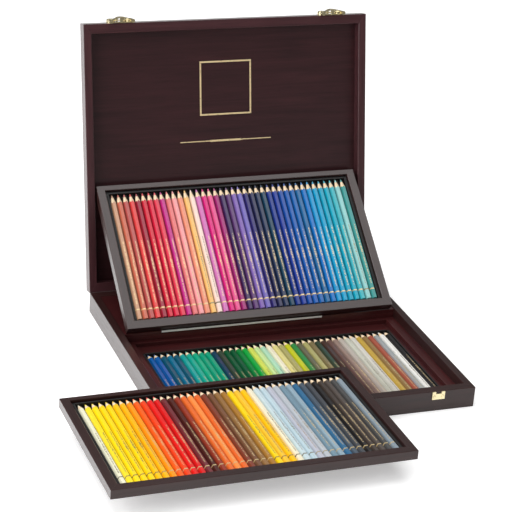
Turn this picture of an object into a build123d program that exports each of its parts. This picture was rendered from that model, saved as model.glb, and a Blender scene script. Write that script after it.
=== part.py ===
"""Wooden presentation case for 120 colour pencils: a shallow base, a hinged lid and two lift-out trays.

Millimetres, +Z up. The origin is the centre of the base's underside, the base's front faces -Y and
the lid stands open at the back. One tray lies across the front wall, the other leans on the lid.
"""
import os
from math import asin, atan2, cos, degrees, radians, sin, tan

from build123d import *

os.makedirs("parts", exist_ok=True)

# --- pencils -------------------------------------------------------------------------------------
pencil_count = 40          # in each of the three layers
pencil_width = 7.7         # across the hexagon's corners
pencil_spacing = 0.3       # air between two neighbours
pencil_length = 177.0
point_length = 14.0        # sharpened cone, with the lead
lead_radius = 1.45
lead_blunt = 0.35          # radius of the lead's very tip
lead_clearance = 0.05
dipped_end = 1.2           # closed lacquered end over the lead
end_chamfer = 0.4

# --- plastic beds that hold the pencils ----------------------------------------------------------
bed_floor = 0.8
bed_height = 5.6
bead_width = 1.8
bead_height = 1.0
bead_corner = 5.0
bed_end_gap = 0.5          # air at each end of the pencils
bed_side_gap = 0.35
flange_side = 2.3
flange_back = 2.2
rib_height = 2.0
pencil_lift = 0.1          # air between pencil and bed

# --- lift-out trays ------------------------------------------------------------------------------
rail_side = 10.5
rail_front = 11.0
rail_back = 7.0
tray_height = 11.7
tray_board = 2.0
bed_clearance = 0.2        # bed inside the rails
edge_break = 0.5           # chamfer on the long edges of every rail and wall

# --- base ----------------------------------------------------------------------------------------
side_wall = 10.0
front_wall = 12.0
back_wall = 12.0
bottom_thick = 3.0
lower_bed_height = 11.5    # from the bottom panel up to the ledges
tray_side_gap = 4.0        # each side of a stowed tray in the well
tray_end_gap = 4.0
ledge_width = 12.0
back_ledge_width = 6.0
well_floor_rise = 0.6      # wooden floor above the plastic flange
lower_bed_inset = 1.1      # lowest bed behind the front wall
platform_depth = 109.0
platform_board = 5.0
platform_drop = 0.9        # platform below the wall tops
riser_thick = 6.0
support_thick = 10.0
strip_length = 211.0
strip_shift = -26.0        # its middle lies left of the centre line
strip_thick = 0.8
strip_height = 2.2
strip_rise = 0.8           # above the platform

# --- lid -----------------------------------------------------------------------------------------
lid_open_angle = 102.6     # from closed
lid_headroom = 1.7         # recess deeper than a tray
lid_panel_thick = 2.6
rim_gap = 0.4              # closed lid above the base

# --- hinges --------------------------------------------------------------------------------------
hinge_drop = 0.7           # pin axis below the base's wall tops, in the plane of the back faces
hinge_spacing = 240.0
hinge_length = 30.0
barrel_radius = 2.0
hinge_pin_radius = 1.0
running_clearance = 0.05
knuckle_gap = 0.3
barrel_clearance = 0.3     # barrel in the notches of the walls
leaf_thick = 1.2
leaf_reach = 12.0
leaf_screw_spacing = 18.0
leaf_screw_drop = 7.5      # below the pin axis

# --- latches and catches -------------------------------------------------------------------------
latch_spacing = 282.0
latch_width = 34.0
latch_height = 11.0
latch_plate_thick = 1.0
latch_rise = 1.0           # plate's lower edge above the lid's rim
ear_radius = 5.4
ear_height = 5.2
ear_rounding = 2.4
latch_pin_radius = 0.8
latch_pin_rise = 4.5       # above the lid's rim
latch_pin_stand = 3.2      # in front of the wall
lever_neck = 11.2          # its width between the ears
lever_barrel_radius = 1.8
lever_barrel_length = 2.5  # at each side of the neck
lever_web = 3.4            # cheeks from the pin up into the arch
lever_thick = 1.2
lever_crown = 7.9          # top of its arch, in front of the lid's wall
lever_edge = 3.6           # arch's ends, in front of the lid's wall
lobe_offset = 13.9         # rounded lobe at each end of the arch
lobe_radius = 2.45
lobe_rise = 2.75           # lobe's axis in front of the lid's wall
lever_flare = 4.1          # pin to where the lever widens
lever_reach = 11.4         # pin to the lever's tip
tongue_width = 3.4
tongue_start = 5.9         # from the pin
tongue_end = 7.3
tongue_clearance = 0.4     # tongue in front of the base's wall
catch_width = 16.2
catch_height = 10.0
catch_drop = 0.5           # catch plate below the base's wall top
catch_thick = 1.2
notch_width = 7.0
notch_depth = 2.6
catch_screw_spacing = 10.8
catch_screw_drop = 6.2     # below the catch plate's top

# --- small brass screws --------------------------------------------------------------------------
screw_radius = 0.9
screw_head_radius = 1.7
screw_head_height = 0.7
screw_length = 7.0         # under the head
screw_clearance = 0.05

# --- how the trays stand in the open case --------------------------------------------------------
seat = 0.3                 # air between a leaning tray and what carries it
front_tray_seat = 0.2      # air under the tray that lies on the wall tops
front_tray_shift = -125.0  # its middle, left of the case's middle
front_tray_reach = 143.5   # how far it stands out in front
front_tray_yaw = 0.7
upper_tray_shift = -1.5
stowed_end_gap = 0.4       # leaning tray, once folded into the lid
stowed_headroom = 1.2

# --- sizes that follow ---------------------------------------------------------------------------
pitch = pencil_width + pencil_spacing
pencil_half_height = pencil_width / 2 * cos(radians(30))
bed_half = pitch * (pencil_count - 1) / 2 + pencil_width / 2 + bed_side_gap
bead_half = bed_half + bead_width
flange_half = bead_half + flange_side
rail_inner_half = flange_half + bed_clearance
tray_half = rail_inner_half + rail_side

bed_front = rail_front + bed_clearance
pocket_front = bed_front + bead_width
pencil_start = pocket_front + bed_end_gap
pocket_back = pencil_start + pencil_length + bed_end_gap
bead_back = pocket_back + bead_width
flange_end = bead_back + flange_back
rail_inner_back = flange_end + bed_clearance
tray_depth = rail_inner_back + rail_back

well_half = tray_half + tray_side_gap
case_half = well_half + side_wall
well_depth = tray_depth + tray_end_gap
case_depth = front_wall + well_depth + platform_depth + back_wall
front_y = -case_depth / 2
back_y = case_depth / 2
well_front = front_y + front_wall
step_y = well_front + well_depth
platform_back = back_y - back_wall

ledge_top = bottom_thick + lower_bed_height
base_height = ledge_top + tray_height
platform_top = base_height - platform_drop
lid_recess = tray_height + lid_headroom
lid_thick = lid_recess + lid_panel_thick

screw_hole = screw_radius + screw_clearance

# The lid's own frame: x along the hinge, y away from it along the lid, z out of the lid's rim side.
# The pin axis lies in the plane of the back faces, so that the open lid's wall closes on the base's.
pin_y = back_y
pin_z = base_height - hinge_drop
lid_angle = radians(lid_open_angle)
lid_frame = Plane(
    origin=(0, pin_y, pin_z),
    x_dir=(1, 0, 0),
    z_dir=(0, -sin(lid_angle), -cos(lid_angle)),
)
lid_near = 0
lid_far = case_depth
rim_z = -hinge_drop - rim_gap
panel_face = rim_z - lid_recess
lid_back_face = rim_z - lid_thick


def at(frame, x, y, z):
    """A point given in a frame's own coordinates, in the case's coordinates."""
    return frame.from_local_coords(Vector(x, y, z))


def save(piece, label):
    """Name a finished piece and write it."""
    piece.label = label
    export_step(piece, f"parts/{label}.step")


def along(part, direction):
    """The straight edges of a part that run in one direction."""
    return part.edges().filter_by(GeomType.LINE).filter_by(
        lambda edge: abs(edge.tangent_at(0.5).dot(direction)) > 0.999
    )


def rail(frame, which, outer, inner, height):
    """One of four mitred rails between two rectangles (x0, y0, x1, y1), its long edges broken."""
    x0, y0, x1, y1 = outer
    a0, b0, a1, b1 = inner
    corners = {
        "front": [(x0, y0), (x1, y0), (a1, b0), (a0, b0)],
        "back": [(x0, y1), (a0, b1), (a1, b1), (x1, y1)],
        "left": [(x0, y0), (a0, b0), (a0, b1), (x0, y1)],
        "right": [(x1, y0), (x1, y1), (a1, b1), (a1, b0)],
    }[which]
    run = frame.x_dir if which in ("front", "back") else frame.y_dir
    with BuildPart() as piece:
        with BuildSketch(frame):
            with BuildLine():
                Polyline(*corners, close=True)
            make_face()
        extrude(amount=height)
        chamfer(along(piece, run), edge_break)
    return piece.part


def slab(frame, x0, y0, x1, y1, thick):
    """A flat board on a frame's own plane."""
    with BuildPart() as piece:
        with BuildSketch(frame):
            with Locations(((x0 + x1) / 2, (y0 + y1) / 2)):
                Rectangle(x1 - x0, y1 - y0)
        extrude(amount=thick)
    return piece.part


def screw_row(face, points, plate):
    """Dome-headed screws that hold a plate of one thickness on a face."""
    with BuildPart() as screws:
        with BuildSketch(face.offset(plate)):
            with Locations(*points):
                Circle(screw_head_radius)
        extrude(amount=screw_head_height)
        top = screws.faces().filter_by(lambda f: f.normal_at().dot(face.z_dir) > 0.999)
        chamfer(top.edges(), screw_head_height / 2)
        with BuildSketch(face.offset(plate)):
            with Locations(*points):
                Circle(screw_radius)
        extrude(amount=-screw_length)
    return screws.part


# --- where the two trays stand -------------------------------------------------------------------
# The front tray lies level across the front and left wall tops, drawn out over the front.
yaw = radians(front_tray_yaw)
front_tray_frame = Plane(
    origin=(front_tray_shift, front_y - front_tray_reach, base_height + front_tray_seat),
    x_dir=(cos(yaw), sin(yaw), 0),
    z_dir=(0, 0, 1),
)

# The upper tray's foot stands on the platform, twice the strip's rise behind the strip, so that it
# clears the strip as it folds away, and its upper edge leans on the lid's panel. The tilt follows
# from the foot's place and the panel's.
foot_y = step_y + 2 * strip_rise
foot_z = platform_top + seat
foot_depth = sin(lid_angle) * (foot_y - pin_y) + cos(lid_angle) * (foot_z - pin_z)
lean_depth = -panel_face - seat
tilt = radians(180) - asin((lean_depth - foot_depth) / tray_depth) - lid_angle
upper_tray_frame = Plane(
    origin=(upper_tray_shift, foot_y, foot_z),
    x_dir=(1, 0, 0),
    z_dir=(0, -sin(tilt), cos(tilt)),
)


# --- pencils -------------------------------------------------------------------------------------
cone_slope = (pencil_width / 2) / point_length
lead_shoulder = pencil_length - (lead_radius - lead_blunt) / cone_slope
across = Plane(origin=(0, 0, 0), x_dir=(1, 0, 0), z_dir=(0, 1, 0))

with BuildPart() as barrel:
    with BuildSketch(across):
        RegularPolygon(pencil_width / 2, 6)
    extrude(amount=pencil_length)
    chamfer(barrel.faces().sort_by(Axis.Y)[0].edges(), end_chamfer)
    with BuildSketch(Plane.XY):
        with BuildLine():
            Polyline(
                (0, 0),
                (pencil_width, 0),
                (pencil_width, pencil_length - point_length - (pencil_width / 2) / cone_slope),
                (lead_blunt, pencil_length),
                (0, pencil_length),
                close=True,
            )
        make_face()
    revolve(axis=Axis.Y, mode=Mode.INTERSECT)
    with BuildSketch(across.offset(dipped_end)):
        Circle(lead_radius + lead_clearance)
    extrude(amount=pencil_length, mode=Mode.SUBTRACT)

with BuildPart() as lead:
    with BuildSketch(Plane.XY):
        with BuildLine():
            Polyline(
                (0, dipped_end + lead_clearance),
                (lead_radius, dipped_end + lead_clearance),
                (lead_radius, lead_shoulder),
                (lead_blunt, pencil_length),
                (0, pencil_length),
                close=True,
            )
        make_face()
    revolve(axis=Axis.Y)


def pencil_row(frame, bed_z, piece, first, last):
    """Copies of a pencil's piece, from place first to place last counted from the left."""
    height = bed_z + bed_floor + pencil_lift + pencil_half_height
    places = [
        ((number - (pencil_count + 1) / 2) * pitch, pencil_start, height)
        for number in range(first, last + 1)
    ]
    copies = [frame.location * Location(place) * piece for place in places]
    return Compound(children=copies)


def pencil_layer(prefix, frame, bed_z, families):
    """The pencils of one layer, a node to each colour family, and their leads."""
    start = 1
    for family, count in families:
        save(pencil_row(frame, bed_z, barrel.part, start, start + count - 1), f"{prefix}_pencils_{family}")
        start += count
    save(pencil_row(frame, bed_z, lead.part, 1, pencil_count), f"{prefix}_pencil_leads")


# --- plastic beds --------------------------------------------------------------------------------
def pencil_bed(frame, bed_z, half, end):
    """A plastic bed: a flange with a raised bead around a pocket, and ribs between the pencils."""
    middle = (bed_front + end) / 2
    pocket_middle = (pocket_front + pocket_back) / 2
    pocket_run = pocket_back - pocket_front
    rib_half = pitch / 2 - pencil_width / 4 - pencil_lift
    with BuildPart() as bed:
        with BuildSketch(frame.offset(bed_z)):
            with Locations((0, middle)):
                Rectangle(2 * half, end - bed_front)
        extrude(amount=bed_height)
        with BuildSketch(frame.offset(bed_z + bed_height)):
            with Locations((0, pocket_middle)):
                RectangleRounded(2 * bead_half, pocket_run + 2 * bead_width, bead_corner)
        extrude(amount=bead_height)
        with BuildSketch(frame.offset(bed_z + bed_floor)):
            with Locations((0, pocket_middle)):
                Rectangle(2 * bed_half, pocket_run)
        extrude(amount=bed_height + bead_height, mode=Mode.SUBTRACT)
        rib_plane = Plane(
            origin=at(frame, 0, pocket_front, bed_z + bed_floor),
            x_dir=frame.x_dir,
            z_dir=frame.y_dir,
        )
        with BuildSketch(rib_plane):
            with GridLocations(pitch, 1, pencil_count - 1, 1):
                Polygon((-rib_half, 0), (rib_half, 0), (0, -rib_height), align=None)
        extrude(amount=pocket_run)
    return bed.part


# --- lift-out trays ------------------------------------------------------------------------------
def tray(prefix, frame, families):
    """A lift-out tray: four mitred rails, a bottom board, a plastic bed and forty pencils."""
    outer = (-tray_half, 0, tray_half, tray_depth)
    inner = (-rail_inner_half, rail_front, rail_inner_half, rail_inner_back)
    for which in ("front", "back", "left", "right"):
        save(rail(frame, which, outer, inner, tray_height), f"{prefix}_{which}_rail")
    save(slab(frame, *inner, tray_board), f"{prefix}_bottom_board")
    save(pencil_bed(frame, tray_board, flange_half, flange_end), f"{prefix}_pencil_bed")
    pencil_layer(prefix, frame, tray_board, families)


tray("upper_tray", upper_tray_frame, [("reds", 14), ("violets", 14), ("blues", 12)])
tray("front_tray", front_tray_frame, [("yellows", 12), ("browns", 14), ("greys", 14)])

# --- base: walls ---------------------------------------------------------------------------------
ground = Plane.XY
case_outline = (-case_half, front_y, case_half, back_y)
case_hollow = (-well_half, well_front, well_half, platform_back)
front_face = Plane(origin=(0, front_y, 0), x_dir=(1, 0, 0), z_dir=(0, -1, 0))
back_face = Plane(origin=(0, back_y, 0), x_dir=(-1, 0, 0), z_dir=(0, 1, 0))
hinge_middles = [-hinge_spacing / 2, hinge_spacing / 2]
latch_middles = [-latch_spacing / 2, latch_spacing / 2]
catch_top = base_height - catch_drop

catch_screws = [
    (middle + side * catch_screw_spacing / 2, catch_top - catch_screw_drop)
    for middle in latch_middles
    for side in (-1, 1)
]
leaf_screws = [
    (middle + side * leaf_screw_spacing / 2, -leaf_screw_drop)
    for middle in hinge_middles
    for side in (-1, 1)
]
base_leaf_face = Plane(origin=(0, back_y, pin_z), x_dir=back_face.x_dir, z_dir=back_face.z_dir)
barrel_plane = Plane(origin=(0, pin_y, pin_z), x_dir=(0, 1, 0), z_dir=(1, 0, 0))
notch_half = hinge_length / 2 + barrel_clearance

with BuildPart() as base_front_wall:
    add(rail(ground, "front", case_outline, case_hollow, base_height))
    with BuildSketch(front_face):
        with Locations(*catch_screws):
            Circle(screw_hole)
    extrude(amount=-screw_length, mode=Mode.SUBTRACT)
save(base_front_wall.part, "base_front_wall")

with BuildPart() as base_back_wall:
    add(rail(ground, "back", case_outline, case_hollow, base_height))
    with BuildSketch(base_leaf_face):
        with Locations(*leaf_screws):
            Circle(screw_hole)
    extrude(amount=-screw_length, mode=Mode.SUBTRACT)
    for middle in hinge_middles:
        with BuildSketch(barrel_plane.offset(middle)):
            Circle(barrel_radius + barrel_clearance)
        extrude(amount=notch_half, both=True, mode=Mode.SUBTRACT)
save(base_back_wall.part, "base_back_wall")

for which in ("left", "right"):
    save(rail(ground, which, case_outline, case_hollow, base_height), f"base_{which}_wall")

# --- base: floor, ledges and platform ------------------------------------------------------------
floor_plane = Plane.XY.offset(bottom_thick)
lower_frame = Plane(
    origin=(0, well_front + lower_bed_inset - rail_front, bottom_thick - tray_board),
    x_dir=(1, 0, 0),
    z_dir=(0, 0, 1),
)
lower_bed_back = lower_frame.origin.Y + bead_back
ledge_half = well_half - ledge_width
back_ledge_y = step_y - back_ledge_width
floor_half = bead_half + bed_clearance
well_floor_thick = bed_height + well_floor_rise
platform_underside = platform_top - platform_board
support_height = platform_underside - bottom_thick

save(slab(ground, *case_hollow, bottom_thick), "base_bottom_panel")
save(slab(floor_plane, -well_half, well_front, -ledge_half, step_y, lower_bed_height), "left_ledge")
save(slab(floor_plane, ledge_half, well_front, well_half, step_y, lower_bed_height), "right_ledge")
save(slab(floor_plane, -ledge_half, back_ledge_y, ledge_half, step_y, lower_bed_height), "back_ledge")
save(
    slab(floor_plane, -ledge_half, well_front, -floor_half, back_ledge_y, well_floor_thick),
    "left_well_floor",
)
save(
    slab(floor_plane, floor_half, well_front, ledge_half, back_ledge_y, well_floor_thick),
    "right_well_floor",
)
save(
    slab(
        floor_plane, -floor_half, lower_bed_back + bed_clearance, floor_half, back_ledge_y, well_floor_thick
    ),
    "back_well_floor",
)
save(
    slab(floor_plane, -well_half, step_y, well_half, step_y + riser_thick, support_height),
    "platform_riser",
)
save(
    slab(floor_plane, -well_half, platform_back - support_thick, well_half, platform_back, support_height),
    "platform_back_support",
)
save(
    slab(
        Plane.XY.offset(platform_underside), -well_half, step_y, well_half, platform_back, platform_board
    ),
    "platform_board",
)
save(
    slab(
        Plane.XY.offset(platform_top + strip_rise - strip_height),
        strip_shift - strip_length / 2,
        step_y - strip_thick,
        strip_shift + strip_length / 2,
        step_y,
        strip_height,
    ),
    "tray_stop_strip",
)

# --- base: lowest layer of pencils ---------------------------------------------------------------
save(pencil_bed(lower_frame, tray_board, bead_half, bead_back), "base_pencil_bed")
pencil_layer("base", lower_frame, tray_board, [("blues", 14), ("greens", 14), ("earths", 12)])

# --- base: catch plates --------------------------------------------------------------------------
for side, middle in zip(("left", "right"), latch_middles):
    with BuildPart() as catch_plate:
        with BuildSketch(front_face):
            with Locations((middle, catch_top - catch_height / 2)):
                Rectangle(catch_width, catch_height)
            with Locations((middle, catch_top)):
                Rectangle(notch_width, 2 * notch_depth, mode=Mode.SUBTRACT)
            with Locations(*catch_screws):
                Circle(screw_hole, mode=Mode.SUBTRACT)
        extrude(amount=catch_thick)
    save(catch_plate.part, f"{side}_catch_plate")
save(screw_row(front_face, catch_screws, catch_thick), "catch_screws")


# --- hinges --------------------------------------------------------------------------------------
def hinge_leaf(face, middle, knuckles):
    """A leaf flat on a wall, with its knuckles around the pin. knuckles holds their (start, end)."""
    with BuildPart() as leaf:
        with BuildSketch(face):
            with Locations((middle, -(leaf_reach + barrel_radius + knuckle_gap) / 2)):
                Rectangle(hinge_length, leaf_reach - barrel_radius - knuckle_gap)
            for start, end in knuckles:
                with Locations((middle + (start + end) / 2, -leaf_reach / 4)):
                    Rectangle(end - start, leaf_reach / 2)
            with Locations(*leaf_screws):
                Circle(screw_hole, mode=Mode.SUBTRACT)
        extrude(amount=leaf_thick)
        for start, end in knuckles:
            round_plane = Plane(
                origin=at(face, middle + start, 0, 0), x_dir=face.y_dir, z_dir=face.x_dir
            )
            with BuildSketch(round_plane):
                Circle(barrel_radius)
            extrude(amount=end - start)
        bore_plane = Plane(
            origin=at(face, middle - hinge_length / 2, 0, 0), x_dir=face.y_dir, z_dir=face.x_dir
        )
        with BuildSketch(bore_plane):
            Circle(hinge_pin_radius + running_clearance)
        extrude(amount=hinge_length, mode=Mode.SUBTRACT)
    return leaf.part


# The lid's leaves lie on the lid's back wall, which faces away from the lid's far edge.
lid_leaf_face = Plane(
    origin=at(lid_frame, 0, lid_near, 0), x_dir=(1, 0, 0), z_dir=-lid_frame.y_dir
)
third = hinge_length / 6
outer_knuckles = [(-hinge_length / 2, -third - knuckle_gap), (third + knuckle_gap, hinge_length / 2)]
middle_knuckle = [(-third, third)]
for side, middle in zip(("left", "right"), hinge_middles):
    save(hinge_leaf(base_leaf_face, -middle, outer_knuckles), f"{side}_hinge_base_leaf")
    lid_leaf = hinge_leaf(lid_leaf_face, middle, middle_knuckle)
    save(lid_leaf, f"{side}_hinge_lid_leaf")

with BuildPart() as hinge_pins:
    for middle in hinge_middles:
        with BuildSketch(barrel_plane.offset(middle)):
            Circle(hinge_pin_radius)
        extrude(amount=hinge_length / 2, both=True)
save(hinge_pins.part, "hinge_pins")
save(screw_row(base_leaf_face, leaf_screws, leaf_thick), "base_hinge_screws")
save(screw_row(lid_leaf_face, leaf_screws, leaf_thick), "lid_hinge_screws")

# --- lid -----------------------------------------------------------------------------------------
lid_back_plane = lid_frame.offset(lid_back_face)
lid_outline = (-case_half, lid_near, case_half, lid_far)
lid_hollow = (-well_half, lid_near + back_wall, well_half, lid_far - front_wall)
for which in ("front", "left", "right"):
    # The wall at the lid's far edge is its front wall once the lid is shut.
    place = "back" if which == "front" else which
    save(rail(lid_back_plane, place, lid_outline, lid_hollow, lid_thick), f"lid_{which}_wall")

with BuildPart() as lid_back_wall:
    add(rail(lid_back_plane, "front", lid_outline, lid_hollow, lid_thick))
    with BuildSketch(lid_leaf_face):
        with Locations(*leaf_screws):
            Circle(screw_hole)
    extrude(amount=-screw_length, mode=Mode.SUBTRACT)
    for middle in hinge_middles:
        with BuildSketch(barrel_plane.offset(middle)):
            Circle(barrel_radius + barrel_clearance)
        extrude(amount=notch_half, both=True, mode=Mode.SUBTRACT)
save(lid_back_wall.part, "lid_back_wall")
save(slab(lid_back_plane, *lid_hollow, lid_panel_thick), "lid_panel")

# --- latches -------------------------------------------------------------------------------------
# On this plane x runs along the lid's front wall, y from its rim to its outer face, z out of it.
latch_face = Plane(origin=at(lid_frame, 0, lid_far, rim_z), x_dir=(1, 0, 0), z_dir=lid_frame.y_dir)
plate_middle = latch_rise + latch_height / 2
ear_offset = latch_width / 2 - latch_height / 2
neck_side = lobe_offset + lobe_radius


def pin_side_plane(start):
    """A plane square to the latch pins, its x out of the wall and its y from the outer face to the rim."""
    return Plane(
        origin=at(latch_face, start, latch_pin_rise, latch_pin_stand),
        x_dir=latch_face.z_dir,
        z_dir=(1, 0, 0),
    )


def arch_plane(middle):
    """A plane square to the lever, through its pin, its y out of the wall and its z towards the tip."""
    return Plane(
        origin=at(latch_face, middle, latch_pin_rise, 0),
        x_dir=(1, 0, 0),
        z_dir=-latch_face.y_dir,
    )


for side, middle in zip(("left", "right"), latch_middles):
    ears = [(middle - ear_offset, plate_middle), (middle + ear_offset, plate_middle)]
    with BuildPart() as latch_plate:
        with BuildSketch(latch_face):
            with Locations((middle, plate_middle)):
                SlotOverall(latch_width, latch_height)
        extrude(amount=latch_plate_thick)
        with BuildSketch(latch_face.offset(latch_plate_thick)):
            with Locations(*ears):
                Circle(ear_radius)
        extrude(amount=ear_height - latch_plate_thick)
        crowns = latch_plate.faces().sort_by(lambda face: face.center().dot(latch_face.z_dir))[-2:]
        fillet(crowns.edges(), ear_rounding)
        with BuildSketch(pin_side_plane(middle - ear_offset)):
            Circle(latch_pin_radius + running_clearance)
        extrude(amount=2 * ear_offset, mode=Mode.SUBTRACT)
    save(latch_plate.part, f"{side}_latch_plate")

    with BuildPart() as lever:
        with BuildSketch(arch_plane(middle)):
            with BuildLine():
                ThreePointArc((-lobe_offset, lever_edge), (0, lever_crown), (lobe_offset, lever_edge))
                Line((lobe_offset, lever_edge), (lobe_offset, lever_edge - lever_thick))
                ThreePointArc(
                    (lobe_offset, lever_edge - lever_thick),
                    (0, lever_crown - lever_thick),
                    (-lobe_offset, lever_edge - lever_thick),
                )
                Line((-lobe_offset, lever_edge - lever_thick), (-lobe_offset, lever_edge))
            make_face()
            with Locations((-lobe_offset, lobe_rise), (lobe_offset, lobe_rise)):
                Circle(lobe_radius)
        extrude(amount=lever_reach)
        # The neck between the ears.
        with BuildSketch(arch_plane(middle)):
            for flank in (-1, 1):
                with Locations((flank * (lever_neck + neck_side) / 2, 0)):
                    Rectangle(neck_side, 4 * lever_crown)
        extrude(amount=lever_flare, mode=Mode.SUBTRACT)
        for start in (-lever_neck / 2, lever_neck / 2 - lever_barrel_length):
            with BuildSketch(pin_side_plane(middle + start)):
                Circle(lever_barrel_radius)
                with Locations((lever_web / 2, lever_barrel_radius / 2)):
                    Rectangle(lever_web, lever_barrel_radius)
            extrude(amount=lever_barrel_length)
        with BuildSketch(pin_side_plane(middle)):
            with BuildLine():
                Polyline(
                    (lever_crown - lever_thick / 2 - latch_pin_stand, tongue_start),
                    (tongue_clearance - latch_pin_stand, tongue_start),
                    (tongue_clearance - latch_pin_stand, tongue_end),
                    (lever_crown - lever_thick / 2 - latch_pin_stand, tongue_end),
                    close=True,
                )
            make_face()
        extrude(amount=tongue_width / 2, both=True)
        with BuildSketch(pin_side_plane(middle - lever_neck / 2)):
            Circle(latch_pin_radius + running_clearance)
        extrude(amount=lever_neck, mode=Mode.SUBTRACT)
    save(lever.part, f"{side}_latch_lever")

with BuildPart() as latch_pins:
    for middle in latch_middles:
        with BuildSketch(pin_side_plane(middle - ear_offset)):
            Circle(latch_pin_radius)
        extrude(amount=2 * ear_offset)
save(latch_pins.part, "latch_pins")

# --- how the pieces move -------------------------------------------------------------------------
# A leaning tray folds into the lid's recess as the lid comes down: a turn about one fixed line of
# the lid, which carries the tray's foot edge and lean edge to their stowed places.
foot = lid_frame.to_local_coords(Vector(0, foot_y, foot_z))
lean_edge = lid_frame.to_local_coords(at(upper_tray_frame, 0, tray_depth, 0))
rest_heading = atan2(foot.Z - lean_edge.Z, foot.Y - lean_edge.Y)
stowed_y = lid_far - front_wall - stowed_end_gap - tray_depth
stowed_z = panel_face + stowed_headroom + tray_height
turn = -rest_heading
half_cot = 1 / tan(turn / 2)
step = (stowed_y - lean_edge.Y, stowed_z - lean_edge.Z)
fold_axis = (
    (stowed_y + lean_edge.Y) / 2 - step[1] * half_cot / 2,
    (stowed_z + lean_edge.Z) / 2 + step[0] * half_cot / 2,
)
fold_point = at(lid_frame, 0, fold_axis[0], fold_axis[1])
latch_pin = at(latch_face, 0, latch_pin_rise, latch_pin_stand)
print("case", 2 * case_half, "x", case_depth, "x", base_height, "closed height", base_height + rim_gap + lid_thick)
print("tray", 2 * tray_half, "x", tray_depth, "x", tray_height, "leans at", degrees(tilt))
print("lid pin axis: y", pin_y, "z", pin_z, "opens to", lid_open_angle)
print("latch pin axis: y", latch_pin.Y, "z", latch_pin.Z)
print("tray fold axis: y", fold_point.Y, "z", fold_point.Z, "turn", degrees(turn), "ratio", turn / lid_angle)
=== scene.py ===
import math

import bmesh
import bpy
from mathutils import Matrix, Vector

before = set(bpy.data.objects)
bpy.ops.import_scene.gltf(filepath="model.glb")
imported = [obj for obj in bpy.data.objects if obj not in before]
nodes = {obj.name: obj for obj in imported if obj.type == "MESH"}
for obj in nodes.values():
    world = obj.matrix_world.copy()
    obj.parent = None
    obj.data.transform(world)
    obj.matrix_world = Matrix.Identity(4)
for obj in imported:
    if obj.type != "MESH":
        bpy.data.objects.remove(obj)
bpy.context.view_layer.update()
print("frame loaded:", len(nodes), "nodes")

# places of the four layers, as turned frames: where their own origin lies and how they are turned
places = {
    "base": {"origin": (0, 0, 0), "turn": (0, 0, 0)},
    "lid": {"origin": (0, 0.1696, 0.0255), "turn": (math.radians(77.4), 0, 0)},
    "upper": {"origin": (-0.0015, 0.0502, 0.0256), "turn": (math.radians(37.113), 0, 0)},
    "front": {"origin": (-0.125, -0.3131, 0.0264), "turn": (0, 0, math.radians(0.7))},
    "lower": {"origin": (0, -0.1675, 0.001), "turn": (0, 0, 0)},
}


def paint(red, green, blue):
    # an 8-bit screen colour as the linear one that the shader wants
    parts = [channel / 255 for channel in (red, green, blue)]
    return tuple(p / 12.92 if p < 0.04045 else ((p + 0.055) / 1.055) ** 2.4 for p in parts) + (1,)


# ---- small helpers for node trees

def addNode(tree, kind, inputs=None, **settings):
    node = tree.nodes.new(kind)
    for name, value in settings.items():
        setattr(node, name, value)
    for name, value in (inputs or {}).items():
        if isinstance(value, bpy.types.NodeSocket):
            tree.links.new(value, node.inputs[name])
        else:
            node.inputs[name].default_value = value
    return node


def calc(tree, operation, first, second=None, third=None, clamp=False):
    node = tree.nodes.new("ShaderNodeMath")
    node.operation = operation
    node.use_clamp = clamp
    for socket, value in zip(node.inputs, (first, second, third)):
        if value is None:
            continue
        if isinstance(value, bpy.types.NodeSocket):
            tree.links.new(value, socket)
        else:
            socket.default_value = value
    return node.outputs[0]


def mixColour(tree, factor, first, second, blend="MIX"):
    node = tree.nodes.new("ShaderNodeMix")
    node.data_type = "RGBA"
    node.blend_type = blend
    for socket, value in ((node.inputs[0], factor), (node.inputs[6], first), (node.inputs[7], second)):
        if isinstance(value, bpy.types.NodeSocket):
            tree.links.new(value, socket)
        else:
            socket.default_value = value
    return node.outputs[2]


def newGroup(name, inputs, outputs):
    group = bpy.data.node_groups.new(name, "ShaderNodeTree")
    for label, kind, start in inputs:
        socket = group.interface.new_socket(label, in_out="INPUT", socket_type=kind)
        if start is not None:
            socket.default_value = start
    for label, kind in outputs:
        group.interface.new_socket(label, in_out="OUTPUT", socket_type=kind)
    return group, group.nodes.new("NodeGroupInput").outputs, group.nodes.new("NodeGroupOutput").inputs


def link(tree, source, target):
    tree.links.new(source, target)


# ---- shared effects

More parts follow.
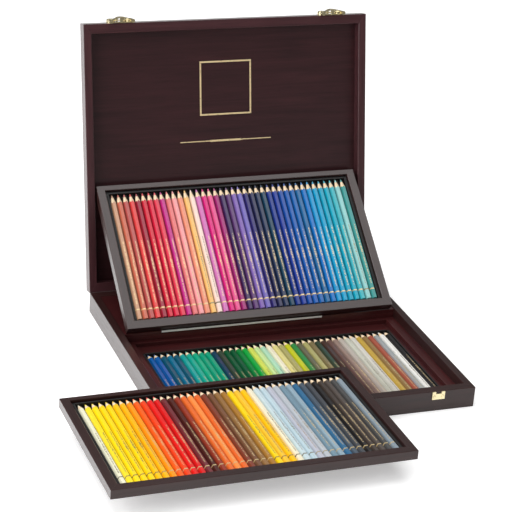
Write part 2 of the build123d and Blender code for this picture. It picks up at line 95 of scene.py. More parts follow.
def makeWoodGrain():
    group, given, made = newGroup(
        "woodGrain",
        [
            ("Along", "NodeSocketVector", None),
            ("Dark", "NodeSocketColor", (0.03, 0.01, 0.01, 1)),
            ("Light", "NodeSocketColor", (0.09, 0.03, 0.03, 1)),
            ("Gloss", "NodeSocketFloat", 0.3),
        ],
        [("Color", "NodeSocketColor"), ("Roughness", "NodeSocketFloat"), ("Height", "NodeSocketFloat")],
    )
    wide = addNode(group, "ShaderNodeMapping", {"Vector": given["Along"], "Scale": (5, 90, 90)})
    fine = addNode(group, "ShaderNodeMapping", {"Vector": given["Along"], "Scale": (40, 1500, 1500)})
    cloud = addNode(group, "ShaderNodeTexNoise", {"Vector": given["Along"], "Scale": 9.0, "Detail": 3.0})
    streak = addNode(
        group, "ShaderNodeTexNoise",
        {"Vector": wide.outputs[0], "Scale": 1.6, "Detail": 6.0, "Roughness": 0.62, "Distortion": 0.5},
    )
    pores = addNode(
        group, "ShaderNodeTexNoise", {"Vector": fine.outputs[0], "Scale": 1.0, "Detail": 2.0, "Roughness": 0.5},
    )
    band = addNode(
        group, "ShaderNodeMapRange", {"Value": streak.outputs["Fac"], "From Min": 0.3, "From Max": 0.7},
    )
    pit = addNode(
        group, "ShaderNodeMapRange",
        {"Value": pores.outputs["Fac"], "From Min": 0.56, "From Max": 0.68, "To Min": 0.0, "To Max": 1.0},
    )
    tone = calc(group, "MULTIPLY_ADD", cloud.outputs["Fac"], 0.5, calc(group, "MULTIPLY", band.outputs[0], 0.6))
    stained = mixColour(group, calc(group, "MINIMUM", tone, 1.0), given["Dark"], given["Light"])
    shaded = mixColour(group, calc(group, "MULTIPLY", pit.outputs[0], 0.45), stained, given["Dark"])
    link(group, shaded, made["Color"])
    rough = calc(group, "MULTIPLY_ADD", band.outputs[0], 0.08, given["Gloss"])
    link(group, calc(group, "MULTIPLY_ADD", pit.outputs[0], 0.1, rough), made["Roughness"])
    height = calc(group, "MULTIPLY_ADD", pit.outputs[0], -0.6, calc(group, "MULTIPLY", band.outputs[0], 0.25))
    link(group, height, made["Height"])
    return group


def makeEdgeWearAndHighlight():
    # finds the outer edges of a piece by how far a rounded normal leans from the flat one; on the wood this mask
    # paints the edges lighter, partly as wear and partly as a painted highlight
    group, given, made = newGroup(
        "edgeWearAndHighlight",
        [("Width", "NodeSocketFloat", 0.0006), ("Vector", "NodeSocketVector", None)],
        [("Edge", "NodeSocketFloat"), ("Normal", "NodeSocketVector")],
    )
    rounded = addNode(group, "ShaderNodeBevel", {"Radius": given["Width"]}, samples=4)
    flat = addNode(group, "ShaderNodeNewGeometry")
    lean = addNode(group, "ShaderNodeVectorMath", operation="DOT_PRODUCT")
    link(group, rounded.outputs[0], lean.inputs[0])
    link(group, flat.outputs["Normal"], lean.inputs[1])
    drop = calc(group, "SUBTRACT", 1.0, lean.outputs["Value"])
    chafe = addNode(group, "ShaderNodeTexNoise", {"Vector": given["Vector"], "Scale": 260.0, "Detail": 3.0})
    edge = addNode(group, "ShaderNodeMapRange", {"Value": drop, "From Min": 0.01, "From Max": 0.16})
    link(group, calc(group, "MULTIPLY", edge.outputs[0], chafe.outputs["Fac"], clamp=True), made["Edge"])
    link(group, rounded.outputs[0], made["Normal"])
    return group


def makeFineGrime():
    # faint smudges and dust that vary the gloss of lacquer, metal and plastic
    group, given, made = newGroup(
        "fineGrime",
        [
            ("Vector", "NodeSocketVector", None),
            ("Gloss", "NodeSocketFloat", 0.25),
            ("Spread", "NodeSocketFloat", 0.1),
        ],
        [("Roughness", "NodeSocketFloat"), ("Smudge", "NodeSocketFloat")],
    )
    smear = addNode(group, "ShaderNodeTexNoise", {"Vector": given["Vector"], "Scale": 45.0, "Detail": 5.0})
    specks = addNode(group, "ShaderNodeTexNoise", {"Vector": given["Vector"], "Scale": 900.0, "Detail": 2.0})
    both = calc(group, "MULTIPLY_ADD", specks.outputs["Fac"], 0.35, smear.outputs["Fac"])
    link(group, calc(group, "MULTIPLY_ADD", both, given["Spread"], given["Gloss"]), made["Roughness"])
    link(group, smear.outputs["Fac"], made["Smudge"])
    return group


woodGrain = makeWoodGrain()
edgeWearAndHighlight = makeEdgeWearAndHighlight()
fineGrime = makeFineGrime()
print("shared effects made")


def newMaterial(name):
    material = bpy.data.materials.new(name)
    material.use_nodes = True
    tree = material.node_tree
    tree.nodes.clear()
    surface = tree.nodes.new("ShaderNodeBsdfPrincipled")
    output = tree.nodes.new("ShaderNodeOutputMaterial")
    link(tree, surface.outputs[0], output.inputs[0])
    return material, tree, surface


def localPoint(tree, place):
    # Object coordinates brought into one layer's own turned frame
    coordinates = addNode(tree, "ShaderNodeTexCoord")
    return addNode(
        tree, "ShaderNodeMapping",
        {
            "Vector": coordinates.outputs["Object"],
            "Location": places[place]["origin"],
            "Rotation": places[place]["turn"],
        },
        vector_type="TEXTURE",
    ).outputs[0]


def useGroup(tree, group, inputs):
    node = tree.nodes.new("ShaderNodeGroup")
    node.node_tree = group
    for name, value in inputs.items():
        if isinstance(value, bpy.types.NodeSocket):
            link(tree, value, node.inputs[name])
        else:
            node.inputs[name].default_value = value
    return node.outputs


def bumpFrom(tree, height, normal, strength, distance):
    return addNode(
        tree, "ShaderNodeBump",
        {"Height": height, "Normal": normal, "Strength": strength, "Distance": distance},
    ).outputs[0]


# ---- stained and lacquered wood
woodLook = {
    "lidDark": paint(40, 19, 22),
    "lidLight": paint(74, 40, 44),
    "caseDark": paint(26, 12, 11),
    "caseLight": paint(54, 28, 26),
    "innerDark": paint(38, 12, 13),
    "innerLight": paint(72, 25, 26),
    "panelDark": paint(30, 11, 14),
    "panelLight": paint(58, 27, 30),
    # lighter edge colour, partly real wear and partly a painted highlight along the edges
    "highlightAndWornEdge": paint(104, 72, 68),
    "gloss": 0.36,
    "bend": 1.32,
    "coat": 1.0,
    "coatBend": 1.3,
    "trayCoatBend": 1.5,     # the leaning tray's rails show more sheen
    "coatGloss": 0.2,
    "foil": paint(232, 208, 160),
    "foilGloss": 0.4,
}


def makeWood(name, place, runsAlong, dark, light, shift, coatBend=woodLook["coatBend"]):
    material, tree, surface = newMaterial(name)
    point = localPoint(tree, place)
    turned = {"x": (0, 0, 0), "y": (0, 0, math.radians(-90))}[runsAlong]
    along = addNode(
        tree, "ShaderNodeMapping", {"Vector": point, "Rotation": turned, "Location": (shift, shift * 0.37, 0)},
    ).outputs[0]
    grain = useGroup(tree, woodGrain, {"Along": along, "Dark": dark, "Light": light, "Gloss": woodLook["gloss"]})
    wearAndHighlight = useGroup(tree, edgeWearAndHighlight, {"Width": 0.0007, "Vector": point})
    # edges lightened towards a pale colour: partly wear, partly a painted edge highlight
    rubbedAndHighlighted = mixColour(tree, calc(tree, "MULTIPLY", wearAndHighlight["Edge"], 0.5), grain["Color"], woodLook["highlightAndWornEdge"])
    link(tree, rubbedAndHighlighted, surface.inputs["Base Color"])
    link(tree, grain["Roughness"], surface.inputs["Roughness"])
    link(tree, bumpFrom(tree, grain["Height"], wearAndHighlight["Normal"], 0.25, 0.0002), surface.inputs["Normal"])
    surface.inputs["IOR"].default_value = woodLook["bend"]
    surface.inputs["Coat Weight"].default_value = woodLook["coat"]
    surface.inputs["Coat IOR"].default_value = coatBend
    surface.inputs["Coat Roughness"].default_value = woodLook["coatGloss"]
    return material, tree, surface, point, rubbedAndHighlighted, grain


def woodSet(place, colours, prefix, coatBend=woodLook["coatBend"]):
    dark, light = colours
    return {
        axis: makeWood(f"{prefix}Wood{axis.upper()}", place, axis, dark, light, shift, coatBend)[0]
        for axis, shift in (("x", 0.0), ("y", 1.3))
    }


# ---- the lid's panel: darker wood with a bare foil square and a foil rule
foilMarks = {
    "shine": 0.35,
    "squareSide": 0.0695,
    "squareLine": 0.0021,
    "squareMiddle": 0.2508,
    "ruleHeight": 0.183,
    "ruleHalf": 0.0615,
    "ruleThin": 0.0006,
    "ruleThick": 0.0012,
    "ruleThickHalf": 0.021,
    "flake": 0.34,           # share of noise under which the foil has worn off
    "panelFace": -0.0155,    # height above which a mark shows, on the panel's inner face
}


def inside(tree, value, limit):
    # 1 where a value's size is under a limit
    return calc(tree, "LESS_THAN", calc(tree, "ABSOLUTE", value), limit)


def makeLidPanel():
    material, tree, surface, point, rubbedAndHighlighted, grain = makeWood(
        "lidPanelWood", "lid", "x", woodLook["panelDark"], woodLook["panelLight"], 0.6
    )
    axes = addNode(tree, "ShaderNodeSeparateXYZ", {"Vector": point}).outputs
    up = calc(tree, "SUBTRACT", axes["Y"], foilMarks["squareMiddle"])
    half = foilMarks["squareSide"] / 2
    reach = calc(tree, "MAXIMUM", calc(tree, "ABSOLUTE", axes["X"]), calc(tree, "ABSOLUTE", up))
    square = calc(
        tree, "MULTIPLY",
        calc(tree, "LESS_THAN", reach, half),
        calc(tree, "GREATER_THAN", reach, half - foilMarks["squareLine"]),
    )
    level = calc(tree, "SUBTRACT", axes["Y"], foilMarks["ruleHeight"])
    thin = calc(
        tree, "MULTIPLY",
        inside(tree, axes["X"], foilMarks["ruleHalf"]),
        inside(tree, level, foilMarks["ruleThin"]),
    )
    thick = calc(
        tree, "MULTIPLY",
        inside(tree, axes["X"], foilMarks["ruleThickHalf"]),
        inside(tree, level, foilMarks["ruleThick"]),
    )
    marks = calc(tree, "MAXIMUM", square, calc(tree, "MAXIMUM", thin, thick))
    flake = addNode(tree, "ShaderNodeTexNoise", {"Vector": point, "Scale": 700.0, "Detail": 2.0})
    kept = calc(tree, "GREATER_THAN", flake.outputs["Fac"], foilMarks["flake"])
    inner = calc(tree, "GREATER_THAN", axes["Z"], foilMarks["panelFace"])
    foil = calc(tree, "MULTIPLY", calc(tree, "MULTIPLY", marks, kept), inner)
    link(tree, mixColour(tree, foil, rubbedAndHighlighted, woodLook["foil"]), surface.inputs["Base Color"])
    link(tree, calc(tree, "MULTIPLY", foil, foilMarks["shine"]), surface.inputs["Metallic"])
    dull = addNode(tree, "ShaderNodeMix", {0: foil, 2: grain["Roughness"], 3: woodLook["foilGloss"]})
    link(tree, dull.outputs[0], surface.inputs["Roughness"])
    return material


caseWood = {
    "base": woodSet("base", (woodLook["caseDark"], woodLook["caseLight"]), "base"),
    "lid": woodSet("lid", (woodLook["lidDark"], woodLook["lidLight"]), "lid"),
    "upper": woodSet(
        "upper", (woodLook["caseDark"], woodLook["caseLight"]), "upperTray", woodLook["trayCoatBend"]
    ),
    "front": woodSet("front", (woodLook["caseDark"], woodLook["caseLight"]), "frontTray"),
}
innerWood = woodSet("base", (woodLook["innerDark"], woodLook["innerLight"]), "inner")
lidPanelWood = makeLidPanel()
print("woods made")


# ---- plastic, brass and the metal strip
smallLook = {
    "plastic": paint(13, 12, 13),
    "plasticGloss": 0.42,
    "brass": paint(238, 226, 184),
    "brassDull": paint(168, 146, 96),
    "brassGloss": 0.2,
    "scuff": paint(70, 69, 69),
    "strip": paint(226, 226, 222),
    "stripDull": paint(205, 205, 202),
    "stripMetallic": 0.15,
    "stripGloss": 0.4,
}


def makePlastic():
    material, tree, surface = newMaterial("blackBedPlastic")
    coordinates = addNode(tree, "ShaderNodeTexCoord").outputs["Object"]
    grime = useGroup(tree, fineGrime, {"Vector": coordinates, "Gloss": smallLook["plasticGloss"], "Spread": 0.12})
    leather = addNode(tree, "ShaderNodeTexVoronoi", {"Vector": coordinates, "Scale": 1400.0})
    wearAndHighlight = useGroup(tree, edgeWearAndHighlight, {"Width": 0.0004, "Vector": coordinates})
    scuffed = mixColour(
        tree, calc(tree, "MULTIPLY", wearAndHighlight["Edge"], 0.2), smallLook["plastic"], smallLook["scuff"]
    )
    link(tree, scuffed, surface.inputs["Base Color"])
    link(tree, grime["Roughness"], surface.inputs["Roughness"])
    bump = bumpFrom(tree, leather.outputs["Distance"], wearAndHighlight["Normal"], 0.12, 0.0001)
    link(tree, bump, surface.inputs["Normal"])
    return material


def makeMetal(name, bright, dull, gloss, metallic=1.0):
    material, tree, surface = newMaterial(name)
    coordinates = addNode(tree, "ShaderNodeTexCoord").outputs["Object"]
    grime = useGroup(tree, fineGrime, {"Vector": coordinates, "Gloss": gloss, "Spread": 0.14})
    brushed = addNode(tree, "ShaderNodeMapping", {"Vector": coordinates, "Scale": (60, 2600, 2600)})
    lines = addNode(tree, "ShaderNodeTexNoise", {"Vector": brushed.outputs[0], "Scale": 1.0, "Detail": 3.0})
    wearAndHighlight = useGroup(tree, edgeWearAndHighlight, {"Width": 0.0003, "Vector": coordinates})
    tarnish = calc(tree, "MULTIPLY", calc(tree, "POWER", grime["Smudge"], 2.0), 0.9, clamp=True)
    link(tree, mixColour(tree, tarnish, bright, dull), surface.inputs["Base Color"])
    surface.inputs["Metallic"].default_value = metallic
    link(tree, grime["Roughness"], surface.inputs["Roughness"])
    link(tree, bumpFrom(tree, lines.outputs["Fac"], wearAndHighlight["Normal"], 0.08, 0.0001), surface.inputs["Normal"])
    return material


blackBedPlastic = makePlastic()
latchBrass = makeMetal("latchBrass", smallLook["brass"], smallLook["brassDull"], smallLook["brassGloss"])
stripMetal = makeMetal(
    "stripMetal", smallLook["strip"], smallLook["stripDull"], smallLook["stripGloss"], smallLook["stripMetallic"]
)
print("plastic and metals made")

# ---- pencils: lacquer colours by name, then the order of each layer from the left
lacquers = {
    "tan": (196, 148, 116), "terracotta": (196, 100, 76), "dustyRose": (178, 78, 74),
    "coralRed": (218, 62, 62), "burgundy": (150, 24, 50), "crimson": (205, 24, 52),
    "roseRed": (212, 26, 62), "watermelon": (218, 54, 78), "plumMagenta": (190, 34, 130),
    "salmon": (226, 118, 118), "lightPink": (238, 158, 160), "apricot": (232, 146, 118),
    "paleOrange": (240, 190, 112), "creamPink": (246, 218, 206), "orchid": (206, 116, 182),
    "hotMagenta": (214, 18, 120), "rosePink": (226, 82, 142), "raspberry": (156, 28, 110),
    "nightViolet": (58, 30, 86), "grape": (88, 50, 108), "lilac": (124, 94, 172),
    "periwinkle": (112, 100, 178), "indigo": (38, 30, 104), "navy": (32, 34, 76),
    "slateNavy": (28, 44, 78), "darkTeal": (8, 58, 84), "cobalt": (2, 92, 166),
    "ultramarine": (22, 52, 146), "midBlue": (12, 72, 158), "royalBlue": (18, 48, 132),
    "azure": (12, 86, 168), "ocean": (10, 94, 168), "petrolBlue": (22, 98, 152),
    "brightBlue": (0, 110, 188), "sky": (20, 148, 202), "cyanBlue": (4, 156, 198),
    "lagoon": (4, 158, 188), "turquoise": (6, 166, 190), "deepTurquoise": (2, 108, 142),
    "lightTeal": (60, 178, 188), "aquaMint": (148, 206, 204), "seaGreen": (58, 150, 146),
    "petrol": (2, 84, 108), "brightTurquoise": (10, 158, 152), "turquoiseGreen": (6, 164, 142),
    "emerald": (2, 166, 128), "tealGreen": (2, 154, 118), "bottleGreen": (2, 84, 48),
    "greyGreen": (52, 68, 52), "green": (8, 126, 58),
    "brightGreen": (14, 162, 62), "limeYellow": (212, 222, 92), "paleGreen": (200, 226, 158),
    "paleMint": (176, 218, 188), "cream": (240, 232, 204), "oliveYellow": (220, 210, 136),
    "khaki": (172, 166, 106), "chartreuse": (196, 200, 32), "leafGreen": (48, 136, 68),
    "greyOlive": (106, 102, 78), "oliveBrown": (126, 112, 76), "darkBrown": (72, 48, 42),
    "mauveBrown": (106, 78, 72), "taupe": (150, 126, 116), "paleGrey": (188, 178, 168),
    "sand": (202, 202, 188), "paleSage": (212, 208, 198), "gold": (194, 160, 66),
    "bronze": (146, 116, 72), "copper": (166, 86, 66), "silver": (160, 165, 166),
    "white": (238, 236, 230), "black": (24, 23, 25), "ivory": (240, 237, 208),
    "lemon": (250, 224, 30), "canary": (252, 222, 14), "yellow": (252, 214, 10),
    "goldenYellow": (250, 214, 8), "amber": (250, 196, 4), "deepAmber": (250, 182, 6),
    "orange": (248, 150, 12), "orangeRed": (240, 96, 22), "vermilion": (236, 68, 22),
    "red": (226, 26, 22), "scarlet": (214, 16, 18), "plumBrown": (110, 40, 46),
    "redBrown": (72, 22, 14), "brownRed": (146, 50, 30), "burntOrange": (228, 106, 40),
    "lightOrange": (246, 142, 66), "russet": (126, 58, 38), "brown": (116, 76, 50),
    "tanBrown": (146, 106, 60),
    "ochre": (168, 118, 46), "yellowGold": (244, 196, 52), "iceBlue": (198, 216, 222),
    "lightBlue": (190, 210, 218), "lavenderGrey": (188, 190, 202), "lightGrey": (186, 192, 198),
    "blueGrey": (116, 144, 160), "greyBlue": (144, 168, 182), "prussian": (46, 104, 144),
    "slate": (72, 86, 100), "darkSlate": (66, 70, 76), "coolBlack": (26, 23, 23),
    "umber": (66, 56, 50), "brownGrey": (80, 71, 66), "warmGrey": (72, 72, 72),
    "steelGrey": (136, 150, 160),
}

layers = {
    "upper": {
        "nodes": [
            ("upper_tray_pencils_reds", 14), ("upper_tray_pencils_violets", 14), ("upper_tray_pencils_blues", 12),
        ],
        "leads": "upper_tray_pencil_leads",
        "order": [
            "tan", "terracotta", "dustyRose", "coralRed", "burgundy", "crimson", "roseRed", "watermelon",
            "plumMagenta", "salmon", "lightPink", "apricot", "paleOrange", "creamPink", "orchid", "hotMagenta",
            "rosePink", "raspberry", "nightViolet", "grape", "lilac", "periwinkle", "indigo", "navy", "slateNavy",
            "darkTeal", "royalBlue", "ultramarine", "midBlue", "azure", "ocean", "petrolBlue", "brightBlue", "sky",
            "cyanBlue", "lagoon", "turquoise", "lightTeal", "aquaMint", "seaGreen",
        ],
    },
    "lower": {
        "nodes": [("base_pencils_blues", 14), ("base_pencils_greens", 14), ("base_pencils_earths", 12)],
        "leads": "base_pencil_leads",
        "order": [
            "cobalt", "cobalt", "petrol", "deepTurquoise", "petrol", "brightTurquoise", "turquoiseGreen", "emerald",
            "tealGreen", "tealGreen", "darkTeal", "greyGreen", "bottleGreen", "bottleGreen", "green", "brightGreen",
            "limeYellow", "paleGreen", "paleMint", "cream", "oliveYellow", "khaki", "chartreuse", "leafGreen",
            "greyOlive", "khaki", "oliveBrown", "greyGreen", "darkBrown", "mauveBrown", "taupe", "paleGrey",
            "sand", "paleSage", "gold", "bronze", "copper", "silver", "white", "black",
        ],
    },
    "front": {
        "nodes": [
            ("front_tray_pencils_yellows", 12), ("front_tray_pencils_browns", 14),
            ("front_tray_pencils_greys", 14),
        ],
        "leads": "front_tray_pencil_leads",
        "order": [
            "ivory", "lemon", "canary", "yellow", "goldenYellow", "amber", "deepAmber", "orange", "orangeRed",
            "vermilion", "red", "scarlet", "plumBrown", "redBrown", "brownRed", "burntOrange", "lightOrange",
            "burntOrange", "russet", "brown", "tanBrown", "ochre", "goldenYellow", "yellowGold", "amber", "cream",
            "iceBlue", "lightBlue", "lavenderGrey", "lightGrey", "blueGrey", "greyBlue", "prussian", "slate",
            "darkSlate", "coolBlack", "umber", "brownGrey", "warmGrey", "steelGrey",
        ],
    },
}

pencilLook = {
    "perLayer": 40,
    "rampSteps": 32,         # steps that one colour ramp holds
    "pitch": 0.008,
    "start": 0.0133,         # closed end of a pencil, from the layer's front edge
    "ringStart": 0.0125,     # gold ring, from the closed end
    "ringEnd": 0.0142,
    "stampStart": 0.021,
    "boldStart": 0.066,
    "boldEnd": 0.08,
    "stampEnd": 0.108,
    "stampHalf": 0.0006,
    "boldHalf": 0.0011,
    "cedarDark": paint(222, 190, 150),
    "cedarLight": paint(246, 228, 198),
    "foil": paint(222, 198, 146),
    "foilOnPale": paint(126, 116, 92),
    "gloss": 0.28,
    "coneLean": 0.12,        # how far a face leans towards the point before it counts as sharpened
    "coneRoughness": 0.75,
    "dashScale": (600, 1000, 0),
    "dashShare": 0.5,
    "foilShine": 0.5,
    "coat": 0.3,
    "coatGloss": 0.08,
    "crumb": paint(225, 220, 215),
}


def colourByPlace(tree, across, names, first):
    # a ramp with one hard step to each pencil, read across the layer
    def ramp(part, start):
        node = tree.nodes.new("ShaderNodeValToRGB")
        node.color_ramp.interpolation = "CONSTANT"
        left = (start - pencilLook["perLayer"] / 2) * pencilLook["pitch"]
        run = len(part) * pencilLook["pitch"]
        link(tree, calc(tree, "DIVIDE", calc(tree, "SUBTRACT", across, left), run), node.inputs[0])
        steps = node.color_ramp.elements
        while len(steps) < len(part):
            steps.new(1.0)
        for index, name in enumerate(part):
            steps[index].position = index / len(part)
            steps[index].color = paint(*lacquers[name])
        return node.outputs[0]

    if len(names) <= pencilLook["rampSteps"]:
        return ramp(names, first)
    half = len(names) // 2
    right = calc(tree, "GREATER_THAN", across, (first + half - pencilLook["perLayer"] / 2) * pencilLook["pitch"])
    return mixColour(tree, right, ramp(names[:half], first), ramp(names[half:], first + half))


def makePencils(name, place, names, first):
    material, tree, surface = newMaterial(name)
    point = localPoint(tree, place)
    axes = addNode(tree, "ShaderNodeSeparateXYZ", {"Vector": point}).outputs
    lacquer = colourByPlace(tree, axes["X"], names, first)
    along = calc(tree, "SUBTRACT", axes["Y"], pencilLook["start"])

    # the sharpened cone is what faces towards the point
    facing = addNode(tree, "ShaderNodeTexCoord").outputs["Normal"]
    tilt = places[place]["turn"]
    forward = Matrix.Rotation(tilt[2], 3, "Z") @ Matrix.Rotation(tilt[0], 3, "X") @ Vector((0, 1, 0))
    lean = addNode(tree, "ShaderNodeVectorMath", {0: facing, 1: tuple(forward)}, operation="DOT_PRODUCT")
    cone = calc(tree, "GREATER_THAN", lean.outputs["Value"], pencilLook["coneLean"])

    # cedar with fine growth lines
    stretched = addNode(tree, "ShaderNodeMapping", {"Vector": point, "Scale": (1800, 90, 1800)})
    growth = addNode(tree, "ShaderNodeTexNoise", {"Vector": stretched.outputs[0], "Scale": 1.0, "Detail": 3.0})
    cedar = mixColour(tree, growth.outputs["Fac"], pencilLook["cedarDark"], pencilLook["cedarLight"])

    # gold ring near the closed end
    ring = calc(
        tree, "MULTIPLY",
        calc(tree, "GREATER_THAN", along, pencilLook["ringStart"]),
        calc(tree, "LESS_THAN", along, pencilLook["ringEnd"]),
    )
    # plain foil dashes along the top facet
    cell = calc(tree, "FRACT", calc(tree, "DIVIDE", axes["X"], pencilLook["pitch"]))
    aside = calc(tree, "MULTIPLY", calc(tree, "SUBTRACT", cell, 0.5), pencilLook["pitch"])
    bold = calc(
        tree, "MULTIPLY",
        calc(tree, "GREATER_THAN", along, pencilLook["boldStart"]),
        calc(tree, "LESS_THAN", along, pencilLook["boldEnd"]),
    )
    spread = pencilLook["boldHalf"] - pencilLook["stampHalf"]
    width = calc(tree, "MULTIPLY_ADD", bold, spread, pencilLook["stampHalf"])
    dashes = addNode(
        tree, "ShaderNodeTexNoise",
        {
            "Vector": addNode(
                tree, "ShaderNodeMapping", {"Vector": point, "Scale": pencilLook["dashScale"]}
            ).outputs[0],
            "Scale": 1.0,
            "Detail": 2.0,
        },
    )
    stamp = calc(
        tree, "MULTIPLY",
        calc(
            tree, "MULTIPLY",
            calc(tree, "LESS_THAN", calc(tree, "ABSOLUTE", aside), width),
            calc(tree, "GREATER_THAN", dashes.outputs["Fac"], pencilLook["dashShare"]),
        ),
        calc(
            tree, "MULTIPLY",
            calc(tree, "GREATER_THAN", along, pencilLook["stampStart"]),
            calc(tree, "LESS_THAN", along, pencilLook["stampEnd"]),
        ),
    )
    foil = calc(tree, "MAXIMUM", ring, stamp)
    foil = calc(tree, "MULTIPLY", foil, calc(tree, "SUBTRACT", 1.0, cone))

    # a little unevenness in the lacquer
    mottle = addNode(tree, "ShaderNodeTexNoise", {"Vector": point, "Scale": 60.0, "Detail": 3.0})
    deeper = mixColour(tree, 0.35, lacquer, paint(0, 0, 0))
    uneven = mixColour(tree, calc(tree, "MULTIPLY", mottle.outputs["Fac"], 0.3), lacquer, deeper)
    paleness = addNode(
        tree, "ShaderNodeMapRange",
        {
            "Value": addNode(tree, "ShaderNodeRGBToBW", {"Color": lacquer}).outputs[0],
            "From Min": 0.4,
            "From Max": 0.6,
        },
    ).outputs[0]
    stamped = mixColour(tree, paleness, pencilLook["foil"], pencilLook["foilOnPale"])
    barrel = mixColour(tree, foil, uneven, stamped)
    link(tree, mixColour(tree, cone, barrel, cedar), surface.inputs["Base Color"])
    link(tree, calc(tree, "MULTIPLY", foil, pencilLook["foilShine"]), surface.inputs["Metallic"])
    grime = useGroup(tree, fineGrime, {"Vector": point, "Gloss": pencilLook["gloss"], "Spread": 0.1})
    rough = addNode(tree, "ShaderNodeMix", {0: cone, 2: grime["Roughness"], 3: pencilLook["coneRoughness"]})
    link(tree, rough.outputs[0], surface.inputs["Roughness"])
    lacquered = calc(tree, "SUBTRACT", 1.0, cone)
    link(tree, calc(tree, "MULTIPLY", lacquered, pencilLook["coat"]), surface.inputs["Coat Weight"])
    surface.inputs["Coat Roughness"].default_value = pencilLook["coatGloss"]
    rounded = useGroup(tree, edgeWearAndHighlight, {"Width": 0.0003, "Vector": point})
    bumped = bumpFrom(tree, growth.outputs["Fac"], rounded["Normal"], 0.04, 0.0001)
    link(tree, bumped, surface.inputs["Normal"])
    return material


def makeLeads(name, place, names):
    material, tree, surface = newMaterial(name)
    point = localPoint(tree, place)
    axes = addNode(tree, "ShaderNodeSeparateXYZ", {"Vector": point}).outputs
    wax = colourByPlace(tree, axes["X"], names, 0)
    crumbs = addNode(tree, "ShaderNodeTexNoise", {"Vector": point, "Scale": 2600.0, "Detail": 3.0})
    chalky = mixColour(tree, calc(tree, "MULTIPLY", crumbs.outputs["Fac"], 0.25), wax, pencilLook["crumb"])
    link(tree, chalky, surface.inputs["Base Color"])
    grime = useGroup(tree, fineGrime, {"Vector": point, "Gloss": 0.5, "Spread": 0.2})
    link(tree, grime["Roughness"], surface.inputs["Roughness"])
    edges = useGroup(tree, edgeWearAndHighlight, {"Width": 0.0002, "Vector": point})
    link(tree, bumpFrom(tree, crumbs.outputs["Fac"], edges["Normal"], 0.2, 0.0001), surface.inputs["Normal"])
    return material


def dress(name, material):
    piece = nodes[name]
    piece.data.materials.clear()
    piece.data.materials.append(material)


for place, layer in layers.items():
    first = 0
    for name, count in layer["nodes"]:
        material = makePencils(name + "_lacquer", place, layer["order"][first:first + count], first)
        dress(name, material)
        first += count
    dress(layer["leads"], makeLeads(layer["leads"] + "_wax", place, layer["order"]))
print("pencils dressed")

# ---- every other CAD node
for side, axis in (("front", "x"), ("back", "x"), ("left", "y"), ("right", "y")):
    dress(f"base_{side}_wall", caseWood["base"][axis])
    dress(f"lid_{side}_wall", caseWood["lid"][axis])
    dress(f"upper_tray_{side}_rail", caseWood["upper"][axis])
    dress(f"front_tray_{side}_rail", caseWood["front"][axis])
for name in ("back_ledge", "back_well_floor", "platform_riser", "platform_back_support", "platform_board",
             "base_bottom_panel"):
    dress(name, innerWood["x"])
for name in ("left_ledge", "right_ledge", "left_well_floor", "right_well_floor"):
    dress(name, innerWood["y"])
dress("upper_tray_bottom_board", caseWood["upper"]["x"])
dress("front_tray_bottom_board", caseWood["front"]["x"])
dress("lid_panel", lidPanelWood)
dress("tray_stop_strip", stripMetal)
for name in ("upper_tray_pencil_bed", "front_tray_pencil_bed", "base_pencil_bed"):
    dress(name, blackBedPlastic)
for name in nodes:
    if any(word in name for word in ("latch", "catch", "hinge")):
        dress(name, latchBrass)
print("wood, plastic and brass dressed")

# ---- floor, light and camera
studio = {
    "floorSize": 14.0,
    "floor": (0.93, 0.93, 0.93, 1),
    "floorGlow": 0.42,
    "backdrop": 1.0,
    "fill": 0.14,
    "aim": (0, 0, 0.1),      # where the soft boxes point
    "overhead": {"where": (-0.1, 0.5, 2.6), "size": 3.4, "power": 73},
    "left": {"where": (-2.4, -0.7, 1.2), "size": 2.2, "power": 70},
    "front": {"where": (-1.0, -2.2, 2.2), "size": 1.6, "power": 11},
}


def makeFloor():
    form = bmesh.new()
    bmesh.ops.create_grid(form, x_segments=1, y_segments=1, size=studio["floorSize"] / 2)
    mesh = bpy.data.meshes.new("floor")
    form.to_mesh(mesh)
    form.free()
    floor = bpy.data.objects.new("floor", mesh)
    bpy.context.collection.objects.link(floor)
    material, tree, surface = newMaterial("paleFloor")
    surface.inputs["Base Color"].default_value = studio["floor"]
    surface.inputs["Roughness"].default_value = 0.7
    surface.inputs["Emission Color"].default_value = studio["floor"]
    surface.inputs["Emission Strength"].default_value = studio["floorGlow"]
    mesh.materials.append(material)


def makeLight(name, look, target):
    data = bpy.data.lights.new(name, "AREA")
    data.shape = "SQUARE"
    data.size = look["size"]
    data.energy = look["power"]
    lamp = bpy.data.objects.new(name, data)
    lamp.location = look["where"]
    lamp.rotation_euler = (Vector(target) - Vector(look["where"])).to_track_quat("-Z", "Y").to_euler()
    bpy.context.collection.objects.link(lamp)


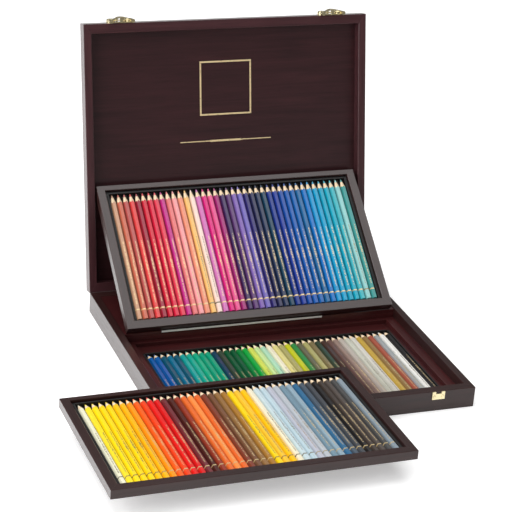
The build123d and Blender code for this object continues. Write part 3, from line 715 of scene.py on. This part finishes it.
makeFloor()
makeLight("overheadSoftbox", studio["overhead"], studio["aim"])
makeLight("leftSoftbox", studio["left"], studio["aim"])
makeLight("frontSoftbox", studio["front"], studio["aim"])
world = bpy.data.worlds.new("studioWorld")
world.use_nodes = True
# the backdrop looks white, and lights the box less than it looks
backdrop = world.node_tree.nodes["Background"]
backdrop.inputs[0].default_value = (1, 1, 1, 1)
seen = addNode(world.node_tree, "ShaderNodeLightPath").outputs["Is Camera Ray"]
glow = calc(world.node_tree, "MULTIPLY_ADD", seen, studio["backdrop"] - studio["fill"], studio["fill"])
link(world.node_tree, glow, backdrop.inputs[1])
bpy.context.scene.world = world
bpy.context.scene.view_settings.view_transform = "Standard"

# the photograph's camera: its place, the heading and dip of its line of sight, its roll, its focal length
cameraLook = {
    "where": (-0.80060, -1.92940, 1.06268),
    "heading": 21.647,
    "dip": 23.975,
    "roll": -4.445,
    "focalPixels": 1903.85,
    "imagePixels": 512,
    "sensorWidth": 36.0,     # mm
    "clipStart": 0.05,
    "clipEnd": 60.0,
}


def makeCamera():
    heading, dip, roll = (math.radians(cameraLook[key]) for key in ("heading", "dip", "roll"))
    sight = Vector((math.sin(heading) * math.cos(dip), math.cos(heading) * math.cos(dip), -math.sin(dip)))
    right = Vector((math.cos(heading), -math.sin(heading), 0))
    down = sight.cross(right)
    rolledRight = math.cos(roll) * right + math.sin(roll) * down
    rolledDown = -math.sin(roll) * right + math.cos(roll) * down
    turn = Matrix((rolledRight, -rolledDown, -sight)).transposed()
    data = bpy.data.cameras.new("photoCamera")
    data.sensor_width = cameraLook["sensorWidth"]
    data.lens = cameraLook["focalPixels"] / cameraLook["imagePixels"] * data.sensor_width
    data.clip_start = cameraLook["clipStart"]
    data.clip_end = cameraLook["clipEnd"]
    camera = bpy.data.objects.new("photoCamera", data)
    camera.matrix_world = Matrix.Translation(cameraLook["where"]) @ turn.to_4x4()
    bpy.context.collection.objects.link(camera)
    bpy.context.scene.camera = camera


makeCamera()
print("floor, light and camera placed")
